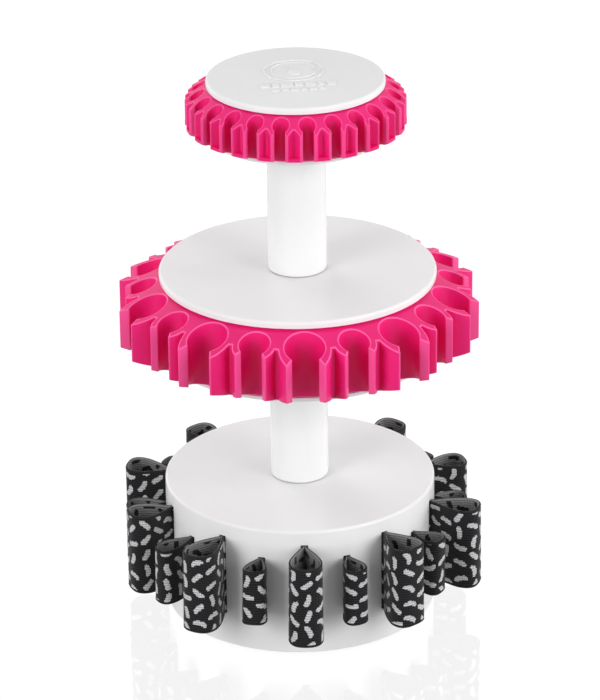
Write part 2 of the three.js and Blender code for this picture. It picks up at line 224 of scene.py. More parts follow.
def gloss_plastic():
    """White moulded plastic: a faint orange peel, soft clouding and fine handling marks."""
    material, tree, shader, place = surface("white_plastic", IOR=1.46)
    cloud = noise(tree, place, 18)
    feed(tree, shader.inputs["Base Color"],
         ramp(tree, cloud, 0.3, 0.7, (0.83, 0.83, 0.835), (0.86, 0.86, 0.865)))
    stretched = make(tree, "ShaderNodeMapping", Scale=(400, 30, 90), Rotation=(0.2, 0.1, 0.7))
    tree.links.new(place, stretched.inputs["Vector"])
    marks = noise(tree, stretched.outputs["Vector"], 3, 2)
    rough = sums(tree, "ADD", spread(tree, cloud, 0.12, 0.17), spread(tree, marks, 0, 0.04))
    feed(tree, shader.inputs["Roughness"], rough)
    peel = noise(tree, place, 420, 2)
    feed(tree, shader.inputs["Normal"], bump(tree, peel, 0.08, 0.0001))
    return material


def silicone():
    """Pink silicone: satin, a little light under its skin, and a highlight painted paler along its
    rims.
    """
    material, tree, shader, place = surface(
        "pink_silicone", IOR=1.43, Subsurface_Weight=0.05, Subsurface_Scale=0.0008,
        Subsurface_Radius=(1.0, 0.25, 0.45))
    cloud = noise(tree, place, 40)
    body = ramp(tree, cloud, 0.3, 0.7, (0.80, 0.010, 0.165), (0.84, 0.013, 0.19))
    # The "rim" attribute paints a paler pink highlight along the rounded rims and upright corners,
    # where they would catch the light.
    rim = make(tree, "ShaderNodeAttribute", attribute_name="rim")
    mix = make(tree, "ShaderNodeMix", data_type="RGBA")
    tree.links.new(spread(tree, rim.outputs["Fac"], 0, 0.75), mix.inputs[0])
    tree.links.new(body, mix.inputs[6])
    mix.inputs[7].default_value = (1.0, 0.16, 0.45, 1)
    tree.links.new(mix.outputs[2], shader.inputs["Base Color"])
    grain = noise(tree, place, 900, 4)
    feed(tree, shader.inputs["Roughness"],
         sums(tree, "ADD", spread(tree, cloud, 0.30, 0.38), spread(tree, grain, 0, 0.08)))
    feed(tree, shader.inputs["Normal"], bump(tree, grain, 0.15, 0.0001))
    return material


# The woven figure: one stroke to a cell. Each row of cells is shifted from the one before it.
STROKE = {
    "cell": (8.3, 7.9), "shift": 0.43, "half": 3.6, "width": 1.3, "tilt": 0.45,
    "wander": 0.5, "bow": 0.2, "blunt": 4,
}
STITCH = (0.5, RIB_PITCH / 2)
WARP_PITCH = 0.9  # of the columns of stitches along the strip


def woven_strokes(tree, strip):
    """1 inside short curved strokes, one to a cell and each turned its own way."""
    across, along = STROKE["cell"]
    stitch = vectors(tree, "SNAP", strip, (*STITCH, 1))
    tilted = make(tree, "ShaderNodeVectorRotate", rotation_type="Z_AXIS", Angle=STROKE["tilt"])
    tree.links.new(stitch, tilted.inputs["Vector"])
    split = tree.nodes.new("ShaderNodeSeparateXYZ")
    tree.links.new(tilted.outputs["Vector"], split.inputs[0])
    row = sums(tree, "FLOOR", sums(tree, "DIVIDE", split.outputs["Y"], along))
    joined = tree.nodes.new("ShaderNodeCombineXYZ")
    shifted = sums(tree, "MULTIPLY_ADD", row, STROKE["shift"] * across, split.outputs["X"])
    tree.links.new(shifted, joined.inputs["X"])
    tree.links.new(split.outputs["Y"], joined.inputs["Y"])
    cells = vectors(tree, "DIVIDE", joined.outputs[0], (across, along, 1))
    chance = make(tree, "ShaderNodeTexWhiteNoise", noise_dimensions="3D")
    tree.links.new(vectors(tree, "FLOOR", cells), chance.inputs["Vector"])
    centred = vectors(tree, "SUBTRACT", vectors(tree, "FRACTION", cells), (0.5, 0.5, 0))
    local = vectors(tree, "MULTIPLY", centred, (across, along, 0))
    wander = vectors(tree, "SUBTRACT", chance.outputs["Color"], (0.5, 0.5, 0.5))
    local = vectors(tree, "ADD", local, vectors(tree, "MULTIPLY", wander, (STROKE["wander"],) * 3))
    turned = make(tree, "ShaderNodeVectorRotate", rotation_type="Z_AXIS")
    tree.links.new(local, turned.inputs["Vector"])
    tree.links.new(sums(tree, "MULTIPLY", chance.outputs["Value"], math.tau),
                   turned.inputs["Angle"])
    ends = tree.nodes.new("ShaderNodeSeparateXYZ")
    tree.links.new(turned.outputs["Vector"], ends.inputs[0])
    bent = tree.nodes.new("ShaderNodeSeparateXYZ")
    tree.links.new(wander, bent.inputs[0])
    square = sums(tree, "MULTIPLY", ends.outputs["X"], ends.outputs["X"])
    bow = sums(tree, "MULTIPLY", bent.outputs["Z"], STROKE["bow"])
    bow = sums(tree, "MULTIPLY", square, bow)
    away = sums(tree, "ABSOLUTE", sums(tree, "ADD", ends.outputs["Y"], bow))
    share = sums(tree, "DIVIDE", square, STROKE["half"] ** 2)
    room = sums(tree, "SUBTRACT", 1, sums(tree, "POWER", share, STROKE["blunt"]))
    return sums(tree, "LESS_THAN", away, sums(tree, "MULTIPLY", room, STROKE["width"]))


def elastic(name, yarn, figure):
    """Ribbed elastic with strokes woven in another yarn, and plain bound edges."""
    material, tree, shader, place = surface(
        name, Roughness=0.85, Sheen_Weight=0.2, Sheen_Roughness=0.4, IOR=1.45,
        Specular_IOR_Level=0.3)
    uv = tree.nodes.new("ShaderNodeUVMap")
    uv.uv_map = "strip"
    # The strip's own coordinates, in millimetres: x along it and y across it.
    strip = vectors(tree, "MULTIPLY", uv.outputs["UV"], (STRIP_UNIT, STRIP_UNIT, 0))
    edge = tree.nodes.new("ShaderNodeAttribute")
    edge.attribute_name = "inboard"
    inside = sums(tree, "GREATER_THAN", edge.outputs["Fac"], HEM["width"])
    strokes = sums(tree, "MULTIPLY", woven_strokes(tree, strip), inside)
    split = tree.nodes.new("ShaderNodeSeparateXYZ")
    tree.links.new(strip, split.inputs[0])
    columns = sums(tree, "SINE", sums(tree, "MULTIPLY", split.outputs["X"],
                                      math.tau / WARP_PITCH))
    ribs = sums(tree, "SINE", sums(tree, "MULTIPLY_ADD", split.outputs["Y"],
                                   math.tau / RIB_PITCH, -math.pi / 2))
    fuzz = noise(tree, place, 1400, 3)
    speckle = noise(tree, place, 2600, 2)
    # The shade mixes the stitch columns and the fuzz, the yarn's own tone, with the ribs' crests
    # painted lighter and their grooves darker: painted light and shade on the ribs.
    shade = sums(tree, "ADD", spread(tree, columns, 0.46, 0.54), spread(tree, ribs, -0.12, 0.12))
    shade = sums(tree, "ADD", shade, spread(tree, fuzz, -0.25, 0.25))
    ground = ramp(tree, shade, 0.1, 0.9, yarn[0], yarn[1])
    drawn = ramp(tree, sums(tree, "ADD", shade, spread(tree, speckle, -0.3, 0.3)), 0.2, 0.8,
                 figure[0], figure[1])
    mix = make(tree, "ShaderNodeMix", data_type="RGBA")
    tree.links.new(strokes, mix.inputs[0])
    tree.links.new(ground, mix.inputs[6])
    tree.links.new(drawn, mix.inputs[7])
    tree.links.new(mix.outputs[2], shader.inputs["Base Color"])
    height = sums(tree, "ADD", sums(tree, "MULTIPLY", columns, 0.5), fuzz)
    height = sums(tree, "ADD", height, sums(tree, "MULTIPLY", strokes, 0.6))
    feed(tree, shader.inputs["Normal"], bump(tree, height, 0.5, 0.00015))
    return material


def rubber():
    """Black rubber: matt and finely grained."""
    material, tree, shader, place = surface("foot_rubber")
    grain = noise(tree, place, 700, 4)
    feed(tree, shader.inputs["Base Color"],
         ramp(tree, grain, 0.3, 0.7, (0.016, 0.016, 0.017), (0.03, 0.03, 0.032)))
    feed(tree, shader.inputs["Roughness"], spread(tree, grain, 0.6, 0.85))
    feed(tree, shader.inputs["Normal"], bump(tree, grain, 0.3, 0.0002))
    return material


def screw_steel():
    """Plated steel with a fine grain."""
    material, tree, shader, place = surface("screw_steel", Metallic=1.0)
    grain = noise(tree, place, 1200, 3)
    feed(tree, shader.inputs["Base Color"],
         ramp(tree, grain, 0.3, 0.7, (0.55, 0.55, 0.57), (0.68, 0.68, 0.70)))
    feed(tree, shader.inputs["Roughness"], spread(tree, grain, 0.25, 0.45))
    feed(tree, shader.inputs["Normal"], bump(tree, grain, 0.1, 0.0001))
    return material


WHITE = gloss_plastic()
PINK = silicone()
FACE_CLOTH = elastic("woven_elastic", ((0.008, 0.008, 0.009), (0.034, 0.034, 0.037)),
                     ((0.40, 0.40, 0.405), (0.80, 0.80, 0.81)))
BACK_CLOTH = elastic("woven_elastic_back", ((0.14, 0.14, 0.143), (0.34, 0.34, 0.345)),
                     ((0.008, 0.008, 0.009), (0.03, 0.03, 0.032)))
RUBBER = rubber()
STEEL = screw_steel()


# ---- Meshes ----
def piece(name, points, faces, materials, smooth=32, values=None):
    """A mesh object from points in millimetres, smooth except over sharp edges."""
    mesh = bpy.data.meshes.new(name)
    mesh.from_pydata((np.asarray(points, float) * MM).tolist(), [], faces)
    for key, numbers in (values or {}).items():
        layer = mesh.attributes.new(key, "FLOAT", "POINT")
        layer.data.foreach_set("value", np.asarray(numbers, np.float32))
    mesh.validate()
    for material in materials:
        mesh.materials.append(material)
    made = bpy.data.objects.new(name, mesh)
    bpy.context.scene.collection.objects.link(made)
    tidy(made, smooth)
    return made


def tidy(made, smooth):
    """Merges doubled points, drops empty faces, and marks the sharp edges."""
    work = bmesh.new()
    work.from_mesh(made.data)
    bmesh.ops.remove_doubles(work, verts=work.verts, dist=2e-6)
    bmesh.ops.dissolve_degenerate(work, edges=work.edges, dist=1e-7)
    bmesh.ops.recalc_face_normals(work, faces=work.faces)
    work.to_mesh(made.data)
    work.free()
    made.data.shade_smooth()
    made.data.set_sharp_from_angle(angle=math.radians(smooth))


def joined(pieces):
    """Several pieces made one."""
    bpy.ops.object.select_all(action="DESELECT")
    for part in pieces:
        part.select_set(True)
    bpy.context.view_layer.objects.active = pieces[0]
    bpy.ops.object.join()
    return pieces[0]


def cut(made, cutters, smooth=32, operation="DIFFERENCE"):
    """Cuts shapes out of a piece, or joins them to it, and removes them."""
    tool = joined(cutters)
    modifier = made.modifiers.new("cut", "BOOLEAN")
    modifier.operation = operation
    modifier.solver = "EXACT"
    modifier.object = tool
    graph = bpy.context.evaluated_depsgraph_get()
    result = bpy.data.meshes.new_from_object(made.evaluated_get(graph))
    made.modifiers.clear()
    made.data = result
    bpy.data.objects.remove(tool)
    tidy(made, smooth)


def rounded(corners, steps=5):
    """A closed outline of (x, y, fillet) corners as points, with an arc at each fillet."""
    out = []
    count = len(corners)
    for i, (x, y, fillet) in enumerate(corners):
        here = np.array([x, y], float)
        if not fillet:
            out.append(here)
            continue
        before = np.array(corners[i - 1][:2], float) - here
        after = np.array(corners[(i + 1) % count][:2], float) - here
        before /= np.linalg.norm(before)
        after /= np.linalg.norm(after)
        half = math.acos(np.clip(before @ after, -1, 1)) / 2
        reach = fillet / math.tan(half)
        centre = here + (before + after) / np.linalg.norm(before + after) * fillet / math.sin(half)
        start, end = here + before * reach - centre, here + after * reach - centre
        for k in range(steps + 1):
            t = k / steps
            way = start * (1 - t) + end * t
            out.append(centre + way / np.linalg.norm(way) * fillet)
    return np.array(out)


def lathe(name, corners, materials, around=FINE, at=(0, 0), smooth=32):
    """A turned piece from a closed (radius, z, fillet) profile."""
    profile = rounded(corners)
    count = len(profile)
    turn = np.radians(np.arange(around) * 360 / around)
    points = np.empty((around, count, 3))
    points[:, :, 0] = profile[None, :, 0] * np.cos(turn)[:, None] + at[0]
    points[:, :, 1] = profile[None, :, 0] * np.sin(turn)[:, None] + at[1]
    points[:, :, 2] = profile[None, :, 1]
    faces = []
    for i in range(around):
        j = (i + 1) % around
        for k in range(count):
            n = (k + 1) % count
            if profile[k][0] < 1e-6 and profile[n][0] < 1e-6:
                continue
            faces.append((i * count + k, j * count + k, j * count + n, i * count + n))
    return piece(name, points.reshape(-1, 3), faces, materials, smooth)


def rod(radius, low, high, at, around=32):
    """A plain cutter for a round hole."""
    corners = [(0, low, 0), (radius, low, 0), (radius, high, 0), (0, high, 0)]
    return lathe("cutter", corners, [WHITE], around, at)


def facing(angle, across, out):
    """The point (across, out) seen from the axis along an angle."""
    a = math.radians(angle)
    return np.array([across * math.cos(a) + out * math.sin(a),
                     across * math.sin(a) - out * math.cos(a)])


def turned_about(points, angle):
    """Points in XY, or XYZ, turned round the axis."""
    a = math.radians(angle)
    spin = np.array([[math.cos(a), -math.sin(a)], [math.sin(a), math.cos(a)]])
    done = np.array(points, float)
    done[:, :2] = done[:, :2] @ spin.T
    return done


def spin_piece(made, angle):
    """A piece turned round the axis."""
    made.data.transform(Matrix.Rotation(math.radians(angle), 4, "Z"))
    return made


def settle(made, body, slot, *nodes):
    """A finished piece rides on its body and stands for its CAD nodes. slot is not used."""
    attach(made, body)
    if nodes:
        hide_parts(*nodes)
    return made


# ---- Posts ----
def post(name):
    """A tube with a spigot at each end."""
    low, high, _ = limits(name)
    foot, head = low + POST["spigot"], high - POST["spigot"]
    bore, spigot, radius = POST["bore"], POST["spigot_radius"], POST["radius"]
    made = lathe(name + "_tube", [
        (bore, low, 0.3), (spigot, low, 1), (spigot, foot, 0), (radius, foot, 0.5),
        (radius, head, 0.5), (spigot, head, 0), (spigot, high, 1), (bore, high, 0.3),
    ], [WHITE], 128)
    return settle(made, name, "white_plastic", name)


# ---- Tiers ----
def screw_places(part, angles):
    """Where a tier's, or the base's, screws stand."""
    return [facing(angle, 0, part["screw_circle"]) for angle in angles]


def pan_screw(name, x, y, z, body, node):
    """A pan-head screw with a cross recess, driven upwards, with its head's underside at z."""
    head, height, shank = SCREW["head"], SCREW["height"], SCREW["shank"]
    low, end = z - height, z + SCREW["length"]
    made = lathe(name, [
        (0, low, 0), (0.6 * head, low, 0.5), (head, low + 0.5 * height, 0.25), (head, z, 0),
        (shank, z, 0.1), (shank, end - SCREW["point"], 0), (SCREW["tip"], end, 0), (0, end, 0),
    ], [STEEL], 40, (x, y))
    length, width = RECESS["length"], RECESS["width"]
    for along, across in ((length, width), (width, length)):
        cut(made, [block("cutter", (x, y), along, across, low - 1, low + RECESS["depth"])])
    return settle(made, body, "screw_steel", node)


def block(name, centre, along, across, low, high, angle=0):
    """A box, as a cutter, turned about its own centre."""
    half = turned_about([(-along / 2, -across / 2), (along / 2, -across / 2),
                         (along / 2, across / 2), (-along / 2, across / 2)], angle)
    flat = half + np.array(centre)
    points = [(*p, low) for p in flat] + [(*p, high) for p in flat]
    faces = [(3, 2, 1, 0), (4, 5, 6, 7)]
    faces += [(i, (i + 1) % 4, (i + 1) % 4 + 4, i + 4) for i in range(4)]
    return piece(name, points, faces, [WHITE])


def lower_plate(tier):
    """The plate under a ring, with a hub for the post below and a boss for each screw."""
    node = tier["stem"] + "_lower_plate"
    z, _, radius = limits(node)
    thick, rib_out = tier["lower"], tier["inside"] - GAP
    rib, hub = z + thick + RIB["height"], z + POST["spigot"] + SOCKET["spare"]
    hub_out = SOCKET["radius"] + SOCKET["wall"]
    made = lathe(node + "_moulding", [
        (SOCKET["radius"], hub, 0.3), (SOCKET["radius"], z, 0.4), (radius, z, 0.7),
        (radius, z + thick, 0.4), (rib_out, z + thick, 0), (rib_out, rib, 0.3),
        (rib_out - RIB["wall"], rib, 0.3), (rib_out - RIB["wall"], z + thick, 0.4),
        (hub_out, z + thick, 0.4), (hub_out, hub, 0.3),
    ], [WHITE])
    bosses, holes = [], []
    for x, y in screw_places(tier, TIER_SCREWS):
        bosses.append(rod(tier["boss"], z + thick / 2, rib, (x, y)))
        holes.append(rod(SCREW["head"] + GAP, z - 1, z + HEAD_SEAT["tier"] + GAP, (x, y)))
    cut(made, bosses, operation="UNION")
    cut(made, holes)
    spin_piece(made, TURN[tier["stem"]])
    return settle(made, tier["stem"] + "_tier", "white_plastic", node)


def upper_plate(tier, socket):
    """The plate above a ring, with a socket for the next post if there is one."""
    node = tier["stem"] + "_upper_plate"
    z, _, radius = limits(tier["stem"] + "_lower_plate")
    top = z + tier["height"]
    under, rib_out = top - tier["upper"], tier["inside"] - GAP
    rib, hub = under - RIB["height"], top - POST["spigot"] - SOCKET["spare"]
    hub_out = SOCKET["radius"] + SOCKET["wall"]
    inner = [(0, top, 0), (0, under, 0)]
    if socket:
        inner = [(SOCKET["radius"], top, 0.3), (SOCKET["radius"], hub, 0.3),
                 (hub_out, hub, 0.3), (hub_out, under, 0.4)]
    made = lathe(node + "_moulding", inner + [
        (rib_out - RIB["wall"], under, 0.4), (rib_out - RIB["wall"], rib, 0.3),
        (rib_out, rib, 0.3), (rib_out, under, 0), (radius, under, 0.25), (radius, top, 1.5),
    ], [WHITE])
    spin_piece(made, TURN[tier["stem"]])
    return settle(made, tier["stem"] + "_tier", "white_plastic", node)


def tier_screws(tier):
    """The three screws that hold a tier's plates together."""
    stem = tier["stem"]
    z = limits(stem + "_lower_plate")[0] + HEAD_SEAT["tier"]
    for number, place in enumerate(screw_places(tier, TIER_SCREWS)):
        x, y = turned_about([place], TURN[stem])[0]
        node = f"{stem}_screw_{number + 1:02d}"
        pan_screw(node + "_steel", x, y, z, stem + "_tier", node)


# ---- Silicone rings ----
def arc(centre, radius, start, end, steps):
    """Points on an arc, with angles in degrees from +X."""
    turn = np.radians(np.linspace(start, end, steps))
    return np.stack([centre[0] + radius * np.cos(turn), centre[1] + radius * np.sin(turn)], 1)


def bend(start, control, end, steps):
    """Points on a quadratic curve."""
    t = np.linspace(0, 1, steps)[:, None]
    start, control, end = (np.array(p, float) for p in (start, control, end))
    return (1 - t) ** 2 * start + 2 * t * (1 - t) * control + t ** 2 * end


def keyhole(slot, angle, steps):
    """A round slot from one mouth corner, round its back, to the other."""
    out = angle - 90
    return arc(facing(angle, 0, slot["centre"]), slot["radius"],
               out - slot["mouth"], out + slot["mouth"] - 360, steps)


def arm_tip(slot, angle, side):
    a = math.radians(slot["tip_angle"])
    return facing(angle, side * slot["tip"] * math.sin(a),
                  slot["centre"] + slot["tip"] * math.cos(a))


def middle_outline():
    """The middle ring's outline, anticlockwise: slots between arms, and a V between pairs."""
    def in_notch(angle, side, place):
        return facing(angle + side * place[0], 0, place[1])

    wide, narrow = NOTCH["wide"], NOTCH["narrow"]
    parts = []
    for k in range(PAIRS):
        angle = 360 * k / PAIRS
        between, following = angle + 180 / PAIRS, angle + 360 / PAIRS
        parts.append(bend(in_notch(angle, -1, wide["foot"]), in_notch(angle, -1, wide["control"]),
                          arm_tip(WIDE_SLOT, angle, -1), 12))
        parts.append(keyhole(WIDE_SLOT, angle, 44))
        parts.append(bend(arm_tip(WIDE_SLOT, angle, 1), in_notch(angle, 1, wide["control"]),
                          in_notch(angle, 1, wide["foot"]), 12))
        parts.append(bend(in_notch(angle, 1, narrow["foot"]), in_notch(angle, 1, narrow["control"]),
                          arm_tip(NARROW_SLOT, between, -1), 8))
        parts.append(keyhole(NARROW_SLOT, between, 36))
        parts.append(bend(arm_tip(NARROW_SLOT, between, 1),
                          in_notch(following, -1, narrow["control"]),
                          in_notch(following, -1, narrow["foot"]), 8))
    return np.vstack(parts)


def top_outlines():
    """The top ring's outline with its notches, and the same points without them."""
    step = 360 / SMALL_SLOTS
    centre = SMALL_SLOT["centre"]
    (lip_x, lip_y), (tip_x, tip_y) = SMALL_SLOT["lip"], SMALL_SLOT["tip"]
    notched, whole = [], []
    for k in range(SMALL_SLOTS):
        angle = k * step
        slot = np.vstack([facing(angle, -tip_x, centre + tip_y),
                          facing(angle, -lip_x, centre + lip_y),
                          keyhole(SMALL_SLOT, angle, 26),
                          facing(angle, lip_x, centre + lip_y)])
        start = facing(angle, tip_x, centre + tip_y)
        end = facing(angle + step, -tip_x, centre + tip_y)
        low = facing(angle + step / 2 - SMALL_SLOT["apex_half"], 0, SMALL_SLOT["apex"])
        high = facing(angle + step / 2 + SMALL_SLOT["apex_half"], 0, SMALL_SLOT["apex"])
        flank = np.vstack([bend(start, (start + low) / 2, low, 6),
                           bend(high, (high + end) / 2, end, 6)])
        turn = np.degrees(np.arctan2(flank[:, 0], -flank[:, 1]))
        rim = np.array([facing(a, 0, np.linalg.norm(start)) for a in turn])
        notched += [slot, flank[:-1]]
        whole += [slot, rim[:-1]]
    return np.vstack(notched), np.vstack(whole)


def thin_out(outlines, least=0.02):
    """Drops the points that sit on their neighbour in the first outline."""
    first = outlines[0]
    keep = np.linalg.norm(first - np.roll(first, 1, 0), axis=1) > least
    return [outline[keep] for outline in outlines]


def soften(outlines, fillet, sharpest=25):
    """Outlines with the first one's outward corners rounded, and 1 for each point on one."""
    first = outlines[0]
    before, after = first - np.roll(first, 1, 0), np.roll(first, -1, 0) - first
    turn = np.degrees(np.arctan2(before[:, 0] * after[:, 1] - before[:, 1] * after[:, 0],
                                 (before * after).sum(1)))
    radii = np.where(turn > sharpest, fillet, 0)
    outlines = [rounded([(*p, r) for p, r in zip(outline, radii)], CORNER_STEPS)
                for outline in outlines]
    corners = np.repeat(radii > 0, np.where(radii > 0, CORNER_STEPS + 1, 1)).astype(float)
    return outlines, corners


def inset(outline, amount):
    """An anticlockwise outline moved into its material."""
    before = outline - np.roll(outline, 1, 0)
    after = np.roll(outline, -1, 0) - outline
    before /= np.linalg.norm(before, axis=1)[:, None]
    after /= np.linalg.norm(after, axis=1)[:, None]
    normals = [np.stack([edge[:, 1], -edge[:, 0]], 1) for edge in (before, after)]
    middle = normals[0] + normals[1]
    middle /= np.linalg.norm(middle, axis=1)[:, None]
    # The limit keeps a sharp corner from moving too far.
    lean = np.clip((middle * normals[0]).sum(1), 0.6, 1)
    return outline - middle * (amount / lean)[:, None]


def ring_heights(tier, z):
    """The silicone's top and underside as functions of the distance from the axis."""
    tip_radius, tip_top, tip_bottom = tier["tip"]
    start, drop, rise = tier["start"]
    top = tier["height"] - tier["upper"] - GAP
    bottom = tier["lower"] + GAP

    def upper(radius):
        return z + np.interp(radius, [start - 2, start, tip_radius], [top, top - drop, tip_top])

    def lower(radius):
        return z + np.interp(radius, [start - 1, start, tip_radius],
                             [bottom, bottom + rise, tip_bottom])

    return upper, lower


def cap(outline, inside, extra):
    """Triangles between an outline and the circle inside it, with rings of extra points."""
    count = len(outline)
    hole = arc((0, 0), inside, 0, 360, FINE + 1)[:-1]
    rings = [arc((0, 0), r, 0, 360, FINE + 1)[:-1] for r in extra]
    points = np.vstack([outline, hole, *rings])
    edges = [(i, (i + 1) % count) for i in range(count)]
    edges += [(count + i, count + (i + 1) % FINE) for i in range(FINE)]
    found = delaunay_2d_cdt([tuple(p) for p in points], edges, [], 1, 1e-6)
    where = np.array([tuple(v) for v in found[0]])
    faces = [f for f in found[2] if np.linalg.norm(where[list(f)].mean(0)) > inside - 1e-4]
    return where, faces


def ring_piece(tier, levels, corners):
    """A silicone ring. levels are (outline, height function, drop, highlight share) from the top
    rim down, the share being the highlight painted on that level, and corners gives the highlight
    painted on the points of the outline that are on an upright edge."""
    node = tier["stem"] + "_silicone_ring"
    z = limits(tier["stem"] + "_lower_plate")[0]
    upper, lower = ring_heights(tier, z)
    inside = tier["inside"]
    points, faces, painted_highlight = [], [], []

    def add(flat, heights, highlight_share):
        first = len(points)
        points.extend((x, y, h) for (x, y), h in zip(flat, heights))
        painted_highlight.extend(np.broadcast_to(highlight_share, len(flat)))
        return first

    rows = []
    for outline, height, drop, highlight_share in levels:
        radius = np.linalg.norm(outline, axis=1)
        # Each point carries its level's painted highlight, or its upright corner's painted
        # highlight where that is stronger.
        rows.append(add(outline, height(radius) + drop, np.maximum(highlight_share, corners)))
    count = len(corners)
    for high, low in zip(rows, rows[1:]):
        for i in range(count):
            j = (i + 1) % count
            faces.append((high + i, high + j, low + j, low + i))
    start = tier["start"][0]
    extra = [start - 2.5, start - 1]  # just inside where the silicone starts to slope
    for outline, height in ((levels[0][0], upper), (levels[-1][0], lower)):
        flat, found = cap(outline, inside, extra)
        first = add(flat, height(np.linalg.norm(flat, axis=1)), 0)
        faces.extend(tuple(first + i for i in f) for f in found)
    hole = arc((0, 0), inside, 0, 360, FINE + 1)[:-1]
    high, low = (add(hole, height(np.full(FINE, inside)), 0) for height in (upper, lower))
    for i in range(FINE):
        j = (i + 1) % FINE
        faces.append((high + j, high + i, low + i, low + j))
    # The "rim" attribute holds the painted highlight for the silicone's colour.
    made = piece(node + "_moulding", points, faces, [PINK], 40, {"rim": painted_highlight})
    spin_piece(made, TURN[tier["stem"]])
    return settle(made, tier["stem"] + "_tier", "pink_silicone", node)


def rounding(outline, height, rim, up, highlight_share, steps=3):
    """Levels that round a rim, with a highlight painted on its rounded rows. up is 1 over the top
    and -1 under the bottom.
    """
    levels = [(inset(outline, rim + RIM_INSIDE), height, 0, 0)]
    for k in range(steps + 1):
        a = math.radians(90 * k / steps)
        levels.append((inset(outline, rim * (1 - math.sin(a))), height,
                       -up * rim * (1 - math.cos(a)), highlight_share if k < steps else 0))
    return levels


def middle_ring():
    """The ring between the middle plates, with wide and narrow slots in turn."""
    upper, lower = ring_heights(MIDDLE, limits("middle_lower_plate")[0])
    (outline,), corners = soften(thin_out([middle_outline()]), MIDDLE_RIM["fillet"])
    # The rounding's radius and the highlight painted along it. The upright corners get their own
    # painted highlight.
    rim, painted_highlight = MIDDLE_RIM["radius"], MIDDLE_RIM["painted_highlight"]
    levels = rounding(outline, upper, rim, 1, painted_highlight)
    levels += rounding(outline, lower, rim, -1, painted_highlight)[::-1]
    return ring_piece(MIDDLE, levels, MIDDLE_RIM["painted_corner_highlight"] * corners)


def top_ring():
    """The ring between the top plates. A web closes the notches between its slots below."""
    z = limits("top_lower_plate")[0]
    upper, lower = ring_heights(TOP, z)
    (notched, whole), corners = soften(thin_out(top_outlines()), TOP_RIM["fillet"])
    # The rounding's radius and the highlight painted along it. The upright corners get their own
    # painted highlight.
    rim, painted_highlight = TOP_RIM["radius"], TOP_RIM["painted_highlight"]

    def web(radius):
        return np.full(len(radius), z + TOP["tip"][2] + NOTCH_FLOOR)

    levels = rounding(notched, upper, rim, 1, painted_highlight)
    levels += [(notched, web, 0, 0), (whole, web, 0, 0)]
    levels += rounding(whole, lower, rim, -1, painted_highlight)[::-1]
    return ring_piece(TOP, levels, TOP_RIM["painted_corner_highlight"] * corners)


# ---- Relief on the top ----
def relief(name, outline, low, high, rim=0.18):
    """A raised shape with a rounded rim, from an anticlockwise outline."""
    rows = [(outline, low), (outline, high - rim)]
    for k in (1, 2, 3):
        a = math.radians(30 * k)
        rows.append((inset(outline, rim * (1 - math.cos(a))), high - rim * (1 - math.sin(a))))
    count = len(outline)
    points = [(*p, z) for flat, z in rows for p in flat]
    faces = []
    for row in range(len(rows) - 1):
        for i in range(count):
            j = (i + 1) % count
            faces.append((row * count + i, row * count + j,
                          (row + 1) * count + j, (row + 1) * count + i))
    last = (len(rows) - 1) * count
    faces.append(tuple(range(last, last + count)))
    faces.append(tuple(reversed(range(count))))
    return piece(name, points, faces, [WHITE], 40)


def tile(x, y, length, depth):
    """A short bar with rounded corners."""
    return rounded([(x + i * length / 2, y + j * depth / 2, TILE_CORNER)
                    for i, j in ((-1, -1), (1, -1), (1, 1), (-1, 1))], 4)


def drop_outline(x, y, size):
    """A water drop with its point at the back."""
    round_end = arc((x, y - 0.25 * size), 0.5 * size, -210, 30, 25)
    tip = np.array([x, y + size])
    left = bend(round_end[-1], round_end[-1] + np.array([-0.12, 0.3]) * size, tip, 8)[1:]
    right = bend(tip, round_end[0] + np.array([0.12, 0.3]) * size, round_end[0], 8)[1:-1]
    return np.vstack([round_end, left, right])


def emblem():
    """Two raised rings with a drop in them, and two rows of plain tiles in front."""
    top = limits("top_lower_plate")[0] + TOP["height"]
    low, high = top - EMBLEM["sink"], top + EMBLEM["height"]
    edge, gap = EMBLEM["round"], EMBLEM["gap"]
    parts = []
    for outer, inner in EMBLEM["rings"]:
        corners = [(inner, low, 0), (outer, low, 0), (outer, high, edge), (inner, high, edge)]
        parts.append(lathe("relief", corners, [WHITE], 96, (0, EMBLEM["centre"])))
    drop = drop_outline(0, EMBLEM["drop"], EMBLEM["drop_size"])
    parts.append(relief("relief", drop, low, high))
    for y, depth, lengths in EMBLEM["rows"]:
        x = -(sum(lengths) + gap * (len(lengths) - 1)) / 2
        for length in lengths:
            parts.append(relief("relief", tile(x + length / 2, y, length, depth), low, high))
            x += length + gap
    made = joined(parts)
    made.name = "top_emblem"
    spin_piece(made, TURN["top"])
    return settle(made, "top_tier", "white_plastic")


# ---- Base ----
def drum():
    """The drum, with a socket in its roof and a window in its wall for each loop."""
    foot, wall = BASE_BOTTOM, BASE_RADIUS - BASE["wall"]
    under = BASE_TOP - BASE["roof"]
    socket_foot = BASE_TOP - POST["spigot"] - SOCKET["spare"]
    socket_out = SOCKET["radius"] + SOCKET["wall"]
    made = lathe("drum_shell", [
        (SOCKET["radius"], BASE_TOP, 0.3), (SOCKET["radius"], socket_foot, 0.3),
        (socket_out, socket_foot, 0.3), (socket_out, under, 0.5), (wall, under, 0.8),
        (wall, foot, 0.3), (BASE_RADIUS, foot, 0.6), (BASE_RADIUS, BASE_TOP, BASE["fillet"]),
    ], [WHITE], 192)
    windows = []
    for loop in (WIDE_LOOP, NARROW_LOOP):
        for k in range(PAIRS):
            angle = loop["first"] + 360 * k / PAIRS
            low, high, _ = limits(loop["stem"] + "_loop_01")
            width = 2 * (ELASTIC + 2 * GAP)
            windows.append(block("cutter", facing(angle, 0, BASE_RADIUS), width, WINDOW_DEPTH,
                                 low - GAP, high + GAP, angle))
    cut(made, windows)
    return settle(made, "base", "white_plastic", "base_drum")


